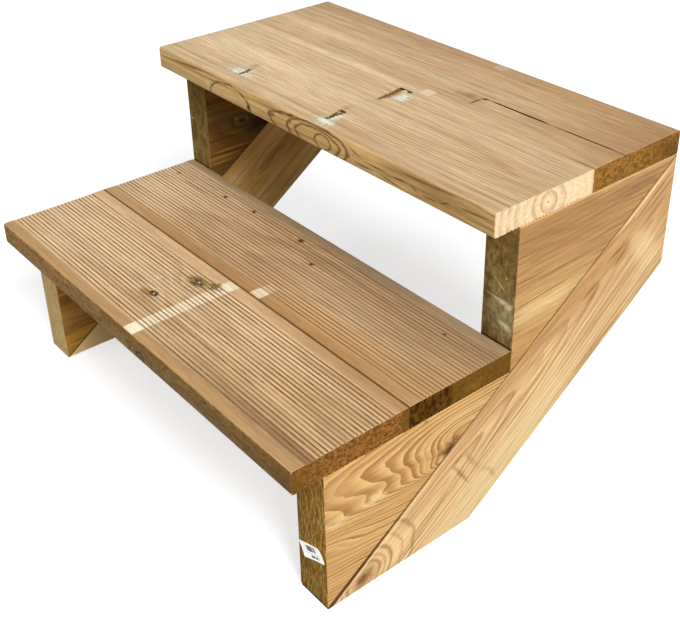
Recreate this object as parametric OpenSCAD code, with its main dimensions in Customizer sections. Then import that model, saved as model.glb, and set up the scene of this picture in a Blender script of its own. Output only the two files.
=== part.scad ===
// Wooden garden steps with two treads.
// Each side is a sawn stringer: one board laid on the slope, with a three-cornered
// block on it under each tread. Each tread is a pair of reeded deck boards.
// The steps stand on the cut feet of the two sloping boards and lean back against
// what they serve: the backs of those boards and of the upper tread are in one plane.
//
// Millimetres. +X to the right, +Y to the back, +Z up. The origin is in the middle
// of the upper tread's back edge.

/* [Treads] */
// Length of a tread, from side to side
tread_len = 600; // [400:10:1200]
// Width of one deck board
board_w = 140; // [95:1:195]
// Thickness of one deck board
board_t = 28; // [20:1:45]
// Open joint between the two boards of a tread
board_gap = 2; // [1:0.5:8]
// Radius on the long edges of a deck board
board_edge_r = 3; // [1:0.5:6]
// Overhang of a tread in front of its blocks
nosing = 36; // [10:1:60]

/* [Reeds] */
// Spacing of the reeds
reed_pitch = 5; // [4:0.5:10]
// Width of a groove between two reeds, at the face
reed_groove_w = 2.4; // [1.5:0.1:3.5]
// Depth of a groove on a board's deeply reeded face
reed_groove_d = 1.2; // [0.8:0.1:2.5]
// Depth of a groove on its other face
fine_groove_d = 0.5; // [0.2:0.1:0.7]
// Least plain margin along each long edge of a board
reed_margin = 15; // [8:1:25]

/* [Sides] */
// Height of a block, which sets the rise of the steps
block_h = 172; // [120:1:220]
// Thickness of the side timbers
side_t = 44; // [42:1:75]
// Width of the sloping board, square to its length
slope_board_w = 112; // [80:1:145]

/* [Tag] */
// Width of the paper tag
tag_w = 36; // [20:1:36]
// Height of the paper tag
tag_h = 19; // [10:1:20]
// Thickness of the paper tag
tag_t = 0.4; // [0.2:0.1:1]
// Angle by which the tag is stuck on askew
tag_tilt = 24; // [0:1:45]
// Height of the tag's middle above the ground
tag_rise = 63; // [40:1:90]

/* [Hidden] */

$fn = 48;

// Depth of a tread, and of a block from its front face to its tip.
tread_d = 2 * board_w + board_gap;
going = tread_d - nosing;
slope = atan(block_h / going);

// Undersides of the treads, and the ground.
upper_z = -board_t / 2;
lower_z = upper_z - block_h;
ground_z = lower_z - block_h;

// Front edges of the treads. A block's front face is the nosing behind each.
upper_front_y = -tread_d;
lower_front_y = upper_front_y - going;

// Inner end of the left side's timbers, and of the right side's.
left_x = -tread_len / 2;
right_x = tread_len / 2 - side_t;

// Reeds that fit between the margins, and where the first of their grooves lies.
reed_n = floor((board_w - 2 * reed_margin) / reed_pitch);
reed_start = (board_w - (reed_n - 1) * reed_pitch) / 2;
groove_floor_w = reed_groove_w / 2;

// A groove is cut from a little above the face.
proud = 0.5;

// Carries a drawing of the side, with Y to the right and Z up, across in X.
module across(x, length) {
    translate([x, 0, 0])
        rotate([90, 0, 90])
            linear_extrude(length)
                children();
}

// Section of a deck board with its lower front corner at the origin. Its two faces
// are reeded to different depths, and either can be laid upwards.
module board_section(top_groove_d, under_groove_d) {
    difference() {
        eased_rectangle(board_w, board_t, board_edge_r);
        for (i = [0 : reed_n - 1])
            translate([reed_start + i * reed_pitch, 0]) {
                translate([0, board_t])
                    groove_section(top_groove_d);
                mirror([0, 1])
                    groove_section(under_groove_d);
            }
    }
}

module eased_rectangle(w, h, r) {
    translate([r, 0])
        square([w - 2 * r, h]);
    translate([0, r])
        square([w, h - 2 * r]);
    for (y = [r, w - r], z = [r, h - r])
        translate([y, z])
            circle(r);
}

// A groove with its mouth at the origin and a narrower, flat floor.
module groove_section(depth) {
    polygon([
        [-reed_groove_w / 2, proud],
        [-reed_groove_w / 2, 0],
        [-groove_floor_w / 2, -depth],
        [groove_floor_w / 2, -depth],
        [reed_groove_w / 2, 0],
        [reed_groove_w / 2, proud]
    ]);
}

// A deck board whose front lower edge is at y and z, with its deep reeds upwards.
module reeds_up_board(y, z) {
    across(left_x, tread_len)
        translate([y, z])
            board_section(reed_groove_d, fine_groove_d);
}

// The same board turned over.
module reeds_down_board(y, z) {
    across(left_x, tread_len)
        translate([y, z])
            board_section(fine_groove_d, reed_groove_d);
}

// The board on the slope. Its upper edge runs from the ground under the lower
// block's tip to the back of the upper tread. Its foot is cut level with the
// ground, and its head is cut plumb.
module sloping_board(x) {
    foot_front_y = -2 * going;
    foot_len = slope_board_w / sin(slope);
    head_h = slope_board_w / cos(slope);
    across(x, side_t)
        polygon([
            [foot_front_y, ground_z],
            [0, upper_z],
            [0, upper_z - head_h],
            [foot_front_y + foot_len, ground_z]
        ]);
}

// A block under a tread: level on top, plumb in front, its long edge on the slope.
module block(x, front_y, top_z) {
    across(x, side_t)
        polygon([
            [front_y, top_z - block_h],
            [front_y, top_z],
            [front_y + going, top_z]
        ]);
}

module lower_tread_front_board() {
    color("#c39a6b") reeds_up_board(lower_front_y, lower_z);
}

module lower_tread_back_board() {
    color("#b98f5c") reeds_up_board(lower_front_y + board_w + board_gap, lower_z);
}

module upper_tread_front_board() {
    color("#cfaa78") reeds_down_board(upper_front_y, upper_z);
}

module upper_tread_back_board() {
    color("#c4a06c") reeds_down_board(upper_front_y + board_w + board_gap, upper_z);
}

module left_sloping_board() {
    color("#b88f55") sloping_board(left_x);
}

module right_sloping_board() {
    color("#cfa768") sloping_board(right_x);
}

module left_lower_block() {
    color("#b5924f") block(left_x, -2 * going, lower_z);
}

module right_lower_block() {
    color("#c99b52") block(right_x, -2 * going, lower_z);
}

module left_upper_block() {
    color("#6d5226") block(left_x, -going, upper_z);
}

module right_upper_block() {
    color("#b98a50") block(right_x, -going, upper_z);
}

// A blank paper tag stuck askew on the front of the right lower block.
module paper_tag() {
    color("white")
        translate([right_x + side_t / 2, -2 * going - tag_t, ground_z + tag_rise])
            rotate([0, -tag_tilt, 0])
                translate([-tag_w / 2, 0, -tag_h / 2])
                    cube([tag_w, tag_t, tag_h]);
}

lower_tread_front_board();
lower_tread_back_board();
upper_tread_front_board();
upper_tread_back_board();
left_sloping_board();
right_sloping_board();
left_lower_block();
right_lower_block();
left_upper_block();
right_upper_block();
paper_tag();
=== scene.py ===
"""Looks of the wooden garden steps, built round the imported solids.

Each timber gets a mesh of its own in place of its plain solid, with reeds, eased
edges and a crack, and a procedural finish drawn in the timber's own coordinates:
l along the grain, w across it and t through it, all in millimetres.
"""

import math
from dataclasses import dataclass

import bmesh
import bpy
from bpy.props import FloatProperty, FloatVectorProperty, PointerProperty
from mathutils import Matrix, Vector, noise


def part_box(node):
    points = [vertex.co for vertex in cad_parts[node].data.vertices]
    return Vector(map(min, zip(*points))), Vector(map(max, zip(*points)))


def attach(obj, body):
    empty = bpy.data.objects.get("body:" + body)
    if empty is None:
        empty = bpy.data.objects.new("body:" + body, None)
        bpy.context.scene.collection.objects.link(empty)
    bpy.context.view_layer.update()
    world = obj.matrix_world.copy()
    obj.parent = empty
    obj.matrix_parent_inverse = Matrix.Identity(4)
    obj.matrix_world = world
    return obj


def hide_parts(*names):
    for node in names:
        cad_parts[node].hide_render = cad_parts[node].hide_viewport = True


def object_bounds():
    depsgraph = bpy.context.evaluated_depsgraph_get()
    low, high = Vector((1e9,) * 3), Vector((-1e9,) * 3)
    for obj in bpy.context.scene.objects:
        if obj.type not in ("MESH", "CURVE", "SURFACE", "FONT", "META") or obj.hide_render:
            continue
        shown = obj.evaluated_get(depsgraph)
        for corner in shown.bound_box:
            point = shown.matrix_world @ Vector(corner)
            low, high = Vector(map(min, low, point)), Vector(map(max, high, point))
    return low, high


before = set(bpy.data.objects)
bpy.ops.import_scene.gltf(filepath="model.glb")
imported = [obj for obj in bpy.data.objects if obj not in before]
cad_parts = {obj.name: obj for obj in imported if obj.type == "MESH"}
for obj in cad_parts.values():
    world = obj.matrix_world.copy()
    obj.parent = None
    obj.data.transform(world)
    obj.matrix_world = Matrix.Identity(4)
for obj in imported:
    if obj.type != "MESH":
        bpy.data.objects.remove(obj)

CAD_BOX = [list(corner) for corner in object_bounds()]

bl_info = {
    "name": "Wooden Garden Steps",
    "version": (1, 0, 0),
    "blender": (4, 5, 0),
    "location": "3D View > Sidebar > Garden Steps",
    "description": "Finishes the timbers of a pair of garden steps and lights them",
    "category": "Object",
}

MM = 0.001


def linear(hex_colour):
    """An sRGB hex colour, such as c9a06b, as the linear colour Blender works in."""
    parts = [int(hex_colour[i:i + 2], 16) / 255 for i in (0, 2, 4)]
    return tuple(p / 12.92 if p <= 0.04045 else ((p + 0.055) / 1.055) ** 2.4 for p in parts)


def colour(name, hex_colour, description):
    return FloatVectorProperty(
        name=name, description=description, subtype="COLOR", size=3,
        min=0, max=1, default=linear(hex_colour),
    )


def length(name, mm, description):
    return FloatProperty(
        name=name, description=description, subtype="DISTANCE", unit="LENGTH",
        min=0, default=mm * MM,
    )


# --- Settings ---------------------------------------------------------------


class STEPS_PG_colours(bpy.types.PropertyGroup):
    """Colours of the wood and its marks."""

    straw: colour("Straw", "d0b791", "Pale early wood of the upper boards")
    tan: colour("Tan", "9a744a", "Late wood of the pale boards")
    peach: colour("Peach", "b8885c", "Warmer wood toward the upper tread's end")
    wheat: colour("Wheat", "d8b478", "Early wood on the upper front edge")
    drab: colour("Drab", "a07e4a", "Weathered wood on the lower front edge")
    butter: colour("Butter", "eac692", "Early wood of the right sloping board")
    sand_dusk: colour("Dusky Sand", "c8a67e", "Early wood of the lower back board")
    almond: colour("Almond", "b08c60", "Plain margins of the lower deck boards")
    # Painted light rather than a tone of the wood: laid over the left sloping board's tip, where light
    # falls on it.
    painted_sunlight: colour("Sunlit", "ffdf9e", "Brightest wood, at the left board's tip")
    driftwood: colour("Driftwood", "967e5f", "Greyed brown of a board that has lain outside")
    corn: colour("Corn", "d9b376", "Early wood of the right lower block")
    old_gold: colour("Old Gold", "8c6a2e", "Early wood of the left upper block")
    sand_light: colour("Light Sand", "ebd2ab", "Trodden board where it is cleaner")
    sand: colour("Sand", "d8b78e", "Early wood of the trodden boards")
    cocoa: colour("Cocoa", "8e6b48", "Late wood of the trodden boards")
    rose: colour("Rose", "bd9269", "Pinkish heartwood")
    honey: colour("Honey", "dfb778", "Early wood of the golden blocks")
    ginger: colour("Ginger", "c8985c", "Orange early wood")
    amber: colour("Amber", "9c6c3a", "Late wood of the golden timbers")
    cream: colour("Cream", "e6cd98", "Sapwood along a board's pale edge")
    umber: colour("Umber", "7c5a30", "Dark late wood")
    olive: colour("Olive", "7a5f2c", "Wood darkened green by its treatment")
    moss: colour("Moss", "a39a68", "Greenish bloom of the treatment")
    bark: colour("Bark", "5f3f1e", "Shaded brown wood")
    knot: colour("Knot", "2e2416", "Heart of a knot")
    resin: colour("Resin", "ecefe2", "Dried white resin round a knot")
    fawn: colour("Fawn", "ba8f5f", "Brown-pink early wood of the upper block")
    gold: colour("Gold", "d49c42", "Wood in the warm shade inside")
    lichen: colour("Lichen", "b9a968", "Yellow-green ring round the large knot")
    haze: colour("Haze", "bcc0a4", "Grey-green film of resin round its crusts")
    # The walnut tone is also laid as dirt and painted shade in the joint between the lower deck boards.
    walnut: colour("Walnut", "64451f", "Darkest late wood, in lines")
    # The groove tone is dirt and painted shade together, laid deepest on the grooves' floors.
    groove: colour("Groove", "7c5836", "Dirt in the grooves")
    # The crack tone is also laid as painted shade on the left upper block, under the tread.
    crack: colour("Crack", "2c1608", "Inside of a drying crack or an open joint")
    chalk: colour("Chalk", "f2e4c6", "Clean stripe left where a stacking batten lay")
    rust_end: colour("Rust End", "98662f", "End grain of the reddish board")
    olive_end: colour("Olive End", "6c4e1a", "Green dirt on sawn ends")
    dark_end: colour("Dark End", "3a2006", "End grain soaked dark")
    gold_end: colour("Gold End", "9c6e33", "End grain of the golden board")
    pale_end: colour("Pale End", "e6cea6", "Freshly sawn end grain")
    blush_end: colour("Blush End", "f0c6a4", "Pink heart of the fresh end grain")
    drab_end: colour("Drab End", "e6c993", "Paler rough end grain")
    sawn_end: colour("Sawn End", "865e24", "Rough end grain on the fronts of the blocks")
    moss_end: colour("Moss End", "c2a25a", "Greener rough end grain")
    dusk_end: colour("Dusk End", "957a46", "Smoother dark end grain")
    shade_end: colour("Shade End", "5f4c28", "Darker clouds on it")
    scratch: colour("Scratch", "d2c8a6", "Pale scratches on a block's front")
    paper: colour("Paper", "f6f6f4", "Tag")
    ink: colour("Ink", "2c2830", "Bars printed on the tag")


class STEPS_PG_sizes(bpy.types.PropertyGroup):
    """Sizes of the details that the solids leave out."""

    deep_reed: length("Deep Reed", 1.2, "Depth of the grooves on a board's deeply reeded face")
    fine_reed: length("Fine Reed", 0.5, "Depth of the grooves on its other face")
    board_edge: length("Board Edge", 3.0, "Radius on the long edges of a deck board")
    joint_edge: length("Joint Edge", 0.5, "Radius on the edges where two boards meet")
    joint_close: length("Joint Close", 0.95, "How far each board reaches into the joint")
    end_edge: length("End Edge", 0.5, "Ease on a deck board's sawn ends")
    timber_edge: length("Timber Edge", 0.9, "Ease on the edges of the side timbers")
    seam_gap: length("Seam Gap", 2.6, "Opening of the right lower joint at the ground")
    crack_depth: length("Crack Depth", 5.0, "Depth of the long drying crack")
    tag_curl: length("Tag Curl", 2.2, "How far the tag's free corner lifts")


# --- Nodes ------------------------------------------------------------------


def add(tree, kind, inputs=(), **settings):
    """Adds a node with its settings. Its inputs stand in order, or by name in a dict.

    An input takes a value, a socket or a node. A name finds the socket in use, as a
    node may hold several of one name.
    """
    node = tree.nodes.new(kind if kind.startswith("Node") else "ShaderNode" + kind)
    for name, value in settings.items():
        setattr(node, name, value)
    for key, value in inputs.items() if isinstance(inputs, dict) else enumerate(inputs):
        if isinstance(key, int):
            socket = node.inputs[key]
        else:
            socket = next(s for s in node.inputs if s.name == key and s.enabled)
        if isinstance(value, bpy.types.Node):
            value = next(s for s in value.outputs if s.enabled)
        if isinstance(value, bpy.types.NodeSocket):
            tree.links.new(value, socket)
        else:
            socket.default_value = value
    return node


def blank(data):
    """The emptied node tree of a new material or world."""
    data.use_nodes = True
    data.node_tree.nodes.clear()
    return data.node_tree


def new_group(name, vectors, numbers, results):
    """A node group with its sockets, and what its inputs give."""
    group = bpy.data.node_groups.new(name, "ShaderNodeTree")
    for way, kind, labels in (("INPUT", "NodeSocketVector", vectors),
                              ("INPUT", "NodeSocketFloat", numbers),
                              ("OUTPUT", "NodeSocketFloat", results)):
        for label in labels:
            group.interface.new_socket(label, in_out=way, socket_type=kind)
    return group, group.nodes.new("NodeGroupInput").outputs


def figure(tree, point, spacing, seed, detail=3.0, rough=0.5, twist=0.0):
    """Clouds drawn out along the grain. Spacing is in mm along, across and through."""
    at = add(tree, "VectorMath", [point, spacing], operation="DIVIDE")
    return add(tree, "TexNoise", {
        "Vector": at, "W": seed, "Scale": 1.0, "Detail": detail, "Roughness": rough,
        "Distortion": twist,
    }, noise_dimensions="4D")


def rings_group():
    """Growth rings round a pith that leans, as cones that waver along the trunk.

    Sawn by a flat face they give straight lines, arches and islands, and on a
    sawn end they give arcs.
    """
    group, socket = new_group(
        "Growth Rings", ("Point", "Pith", "Lean"),
        ("Ring Width", "Slow Wave", "Fine Wave", "Lift", "Seed", "Band"), ("Late Wood",))
    point = socket["Point"]
    along = add(group, "SeparateXYZ", [point])
    drift = add(group, "VectorMath", {0: socket["Lean"], "Scale": along.outputs["X"]},
                operation="SCALE")
    pith = add(group, "VectorMath", [socket["Pith"], drift], operation="ADD")
    away = add(group, "VectorMath", [point, pith], operation="SUBTRACT")
    across = add(group, "VectorMath", [away, (0, 1, 1)], operation="MULTIPLY")
    reach = add(group, "VectorMath", [across], operation="LENGTH").outputs["Value"]
    # The trunk sways over some 200 mm, and its rings waver over some 60 mm.
    for spacing, detail, wave in (((210, 75, 75), 1.0, "Slow Wave"),
                                  ((60, 15, 15), 3.0, "Fine Wave")):
        sway = figure(group, point, spacing, socket["Seed"], detail)
        reach = add(group, "Math", [sway, socket[wave], reach], operation="MULTIPLY_ADD")
    lifted = add(group, "Math", [reach, socket["Lift"]], operation="ADD")
    years = add(group, "Math", [lifted, socket["Ring Width"]], operation="DIVIDE")
    season = add(group, "Math", [years], operation="FRACT")
    year = add(group, "Math", [years], operation="FLOOR")
    weight = add(group, "TexWhiteNoise", {"W": year}, noise_dimensions="1D")
    # Late wood darkens slowly through the summer and ends in a sharp line.
    darken = add(group, "MapRange", {"Value": season, "From Min": socket["Band"], "From Max": 0.9},
                 interpolation_type="SMOOTHSTEP")
    stop = add(group, "MapRange", {"Value": season, "From Min": 1.0, "From Max": 0.93},
               interpolation_type="SMOOTHSTEP")
    late = add(group, "MapRange", {"Value": weight, "To Min": 0.35})
    for part in (darken, stop):
        late = add(group, "Math", [late, part], operation="MULTIPLY")
    add(group, "NodeGroupOutput", {"Late Wood": late})
    return group


def knot_group():
    """A branch through the wood: rings swept round it, its dark heart, and a halo."""
    group, socket = new_group("Knot", ("Point", "Centre", "Spread", "Heart Size"), ("Height",),
                              ("Lift", "Heart", "Halo", "Distance"))
    away = add(group, "VectorMath", [socket["Point"], socket["Centre"]], operation="SUBTRACT")
    swept = add(group, "VectorMath", [away, socket["Spread"]], operation="DIVIDE")
    squared = add(group, "VectorMath", [swept, swept], operation="DOT_PRODUCT")
    falling = add(group, "Math", [squared, -1.0], operation="MULTIPLY")
    bell = add(group, "Math", [falling], operation="EXPONENT")
    lift = add(group, "Math", [bell, socket["Height"]], operation="MULTIPLY")
    scaled = add(group, "VectorMath", [away, socket["Heart Size"]], operation="DIVIDE")
    plain = add(group, "VectorMath", [scaled], operation="LENGTH")
    wobble = add(group, "TexNoise", {"Vector": socket["Point"], "Scale": 0.14, "Detail": 2.0})
    uneven = add(group, "MapRange", {"Value": wobble, "From Min": 0.25, "From Max": 0.75,
                                     "To Min": 0.6, "To Max": 1.4})
    distance = add(group, "Math", [plain, uneven], operation="MULTIPLY")
    # The heart ends near its own size, and the halo reaches 2.6 times as far.
    heart = add(group, "MapRange", {"Value": distance, "From Min": 1.1, "From Max": 0.7},
                interpolation_type="SMOOTHSTEP")
    halo = add(group, "MapRange", {"Value": distance, "From Min": 2.6, "From Max": 0.9},
               interpolation_type="SMOOTHSTEP")
    add(group, "NodeGroupOutput", {"Lift": lift, "Heart": heart, "Halo": halo, "Distance": distance})
    return group


def patch_group():
    """A soft or sharp, round or square patch with a ragged edge."""
    group, socket = new_group(
        "Patch", ("Point", "Centre", "Half Size", "Grain", "W Row", "T Row"),
        ("Softness", "Square", "Ragged", "Rim"), ("Mask",))
    away = add(group, "VectorMath", [socket["Point"], socket["Centre"]], operation="SUBTRACT")
    along = add(group, "SeparateXYZ", [away])
    across = add(group, "VectorMath", [away, socket["W Row"]], operation="DOT_PRODUCT")
    through = add(group, "VectorMath", [away, socket["T Row"]], operation="DOT_PRODUCT")
    sheared = add(group, "CombineXYZ", [along.outputs["X"], across, through])
    scaled = add(group, "VectorMath", [sheared, socket["Half Size"]], operation="DIVIDE")
    size = add(group, "VectorMath", [scaled], operation="ABSOLUTE")
    part = add(group, "SeparateXYZ", [size])
    in_plane = add(group, "Math", [part.outputs["X"], part.outputs["Y"]], operation="MAXIMUM")
    square = add(group, "Math", [in_plane, part.outputs["Z"]], operation="MAXIMUM")
    rounded = add(group, "VectorMath", [size], operation="LENGTH").outputs["Value"]
    shape = add(group, "Mix", {"Factor": socket["Square"], "A": rounded, "B": square})
    grain_at = add(group, "VectorMath", [socket["Point"], socket["Grain"]], operation="DIVIDE")
    grain = add(group, "TexNoise", {"Vector": grain_at, "Scale": 1.0, "Detail": 3.0})
    centred = add(group, "Math", [grain, 0.5], operation="SUBTRACT")
    torn = add(group, "Math", [centred, socket["Ragged"], shape], operation="MULTIPLY_ADD")
    # A patch with a rim is only a line round its outside.
    off_rim = add(group, "Math", [torn, 1.0], operation="SUBTRACT")
    from_rim = add(group, "Math", [off_rim], operation="ABSOLUTE")
    thin = add(group, "Math", [socket["Rim"], 0.001], operation="MAXIMUM")
    rim = add(group, "Math", [from_rim, thin], operation="DIVIDE")
    has_rim = add(group, "Math", [socket["Rim"], 0.0], operation="GREATER_THAN")
    edge = add(group, "Mix", {"Factor": has_rim, "A": torn, "B": rim})
    inner = add(group, "Math", [1.0, socket["Softness"]], operation="SUBTRACT")
    mask = add(group, "MapRange", {"Value": edge, "From Min": 1.0, "From Max": inner},
               interpolation_type="SMOOTHSTEP")
    add(group, "NodeGroupOutput", {"Mask": mask})
    return group


# --- Timbers ----------------------------------------------------------------

# A size in mm that takes in the whole timber.
ANY = 1e5
BOARD_LENGTH, BOARD_WIDTH, BOARD_TOP = 600, 140, 28
SIDE_FACE = 44


@dataclass
class Knot:
    """A branch through the wood, or a swirl in its rings with no branch."""

    # Its place at l, w and t, how far it sweeps the rings aside, and by how much.
    at: tuple
    spread: tuple
    height: float
    # Half sizes of its heart, the heart's colour, and how much of a halo it has.
    heart: tuple = ()
    hue: str = "knot"
    halo: float = 0.45


@dataclass
class Patch:
    """A patch of another colour, centred at l, w and t, with its half sizes."""

    at: tuple
    half: tuple
    hue: str
    amount: float = 1.0
    # How softly it ends, how ragged its edge is, and the spacing of the tears in it.
    soft: float = 1.0
    ragged: float = 0.3
    grain: tuple = (22, 3.5, 3.5)
    # The rise of w along l, of w along t, and of t along l.
    slope: tuple = (0, 0, 0)
    # Only a line round its outside, this wide as a share of its half size.
    rim: float = 0.0
    # Oval at 0, and with straight sides at 1.
    square: float = 0.0


@dataclass
class Timber:
    """How one piece of wood grew, was sawn and has weathered. Lengths are in mm."""

    # Colours of its early and late wood.
    early: str
    late: str
    # The pith at w and t, the width of a ring, and how far the pith leans per mm.
    pith: tuple
    ring: float
    lean: tuple = (0, 0)
    # How strongly late wood shows, where in the year it begins, and how far the
    # rings waver, slowly and finely.
    contrast: float = 0.7
    band: float = 0.15
    slow: float = 14.0
    fine: float = 2.0
    # Branches, patches that the fibre runs over, and marks that lie over it.
    knots: tuple = ()
    patches: tuple = ()
    marks: tuple = ()
    # How much it has of streaks of other wood, bloom, dark lines and fibre.
    streak: str = "rose"
    streaks: float = 0.5
    bloom: float = 0.15
    lines: float = 0.3
    fibre: float = 0.5
    # Its sawn ends: two tones and their mix, rings, and the spacing of the saw's marks.
    end: str = "gold_end"
    end_other: str = "olive"
    end_mix: float = 0.6
    end_rings: float = 0.0
    end_grain: tuple = (1.7, 1.7)
    end_patches: tuple = ()
    # Dirt and painted shade in its grooves, the depth where that is full, and grime on an edge.
    grooves: float = 0.0
    groove_depth: float = 1.0
    grime: float = 0.0
    # Sets its clouds and streaks apart from those of other timbers.
    seed: float = 0.0


def top(l, w, half_l, half_w, *look, deep=6, **more):
    """A patch on the top of a deck board."""
    return Patch((l, w, BOARD_TOP), (half_l, half_w, deep), *look, **more)


def front(l, t, half_l, half_t, *look, slope=0, **more):
    """A patch on the front edge of a deck board. Its slope is the rise of t along l."""
    return Patch((l, 0, t), (half_l, ANY, half_t), *look, slope=(0, 0, slope), **more)


def side(l, w, half_l, half_w, *look, slope=0, **more):
    """A patch right through a side timber. Its slope is the rise of w along l."""
    return Patch((l, w, SIDE_FACE), (half_l, half_w, ANY), *look, slope=(slope, 0, 0), **more)


def board_end(w, t, half_w, half_t, *look, **more):
    """A patch on the right end of a deck board."""
    return Patch((BOARD_LENGTH, w, t), (ANY, half_w, half_t), *look, **more)


def block_end(w, t, half_w, half_t, *look, slope=0, **more):
    """A patch on the sawn front of a block. Its slope is the rise of w along t."""
    return Patch((0, w, t), (ANY, half_w, half_t), *look, slope=(0, slope, 0), **more)


def pin_knot(l, w, size):
    """A small dead branch through a deck board."""
    return Knot((l, w, BOARD_TOP), (size * 5, size * 3, ANY), size * 1.5,
                (size * 1.25, size, ANY), "knot", 0.35)


def resin_spot(l, w, half_l, half_w, amount=0.8):
    """Resin that bled from a knot and dried: a grey-green haze, whiter in its middle."""
    return (top(l, w, half_l * 1.35, half_w * 1.35, "haze", amount, 1, 0.9, (7, 4, 5), deep=5),
            top(l, w, half_l, half_w, "resin", amount * 0.85, 0.9, 2.4, (5, 3, 3), deep=5))


def spike_knot(tail, head, thin, thick, hue="knot", amount=1.0):
    """A branch cut along its length: a dark streak that widens toward its head at l and w."""
    steps = 5
    half_w = 0.9 * math.dist(tail, head) / steps
    patches = []
    for i in range(steps):
        part = (i + 0.5) / steps
        l, w = (a + part * (b - a) for a, b in zip(tail, head))
        half_l = thin + part * (thick - thin)
        patches.append(top(l, w, half_l, half_w, hue, amount, 0.7, 1.3, (2.5, 4, 3), deep=5))
    return patches


def batten_mark(l, w, half_l, half_w, amount):
    """Paler wood where a stacking batten kept the treatment off."""
    return top(l, w, half_l, half_w, "chalk", amount, 0.2, 0.15, square=1, deep=5)


def edge_ring(l, t, half_l, half_t):
    """A closed line of late wood on the front edge, where the saw cut across a swell."""
    return front(l, t, half_l, half_t, "walnut", 0.8, 0.9, 0.35, (13, 6, 6), rim=1.5 / half_t)


def edge_line(l, t, half_l, rise):
    """A dark line of late wood along the front edge."""
    return front(l, t, half_l, 1.7, "walnut", 0.85, 0.9, 0.5, slope=rise)


def grain_line(l, w, half_l, half_w, rise):
    """A thin dark line of late wood along a sloping board."""
    return side(l, w, half_l, half_w * 1.5, "umber", 0.75, 0.7, 0.6, slope=rise)


def scratch(t, w, half_t, half_w, slope, amount=0.8):
    """A pale scrape across the sawn front of a block."""
    return block_end(w, t, half_w, half_t, "scratch", amount, 0.8, 0.7, (3, 3, 3), slope=slope)


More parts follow.
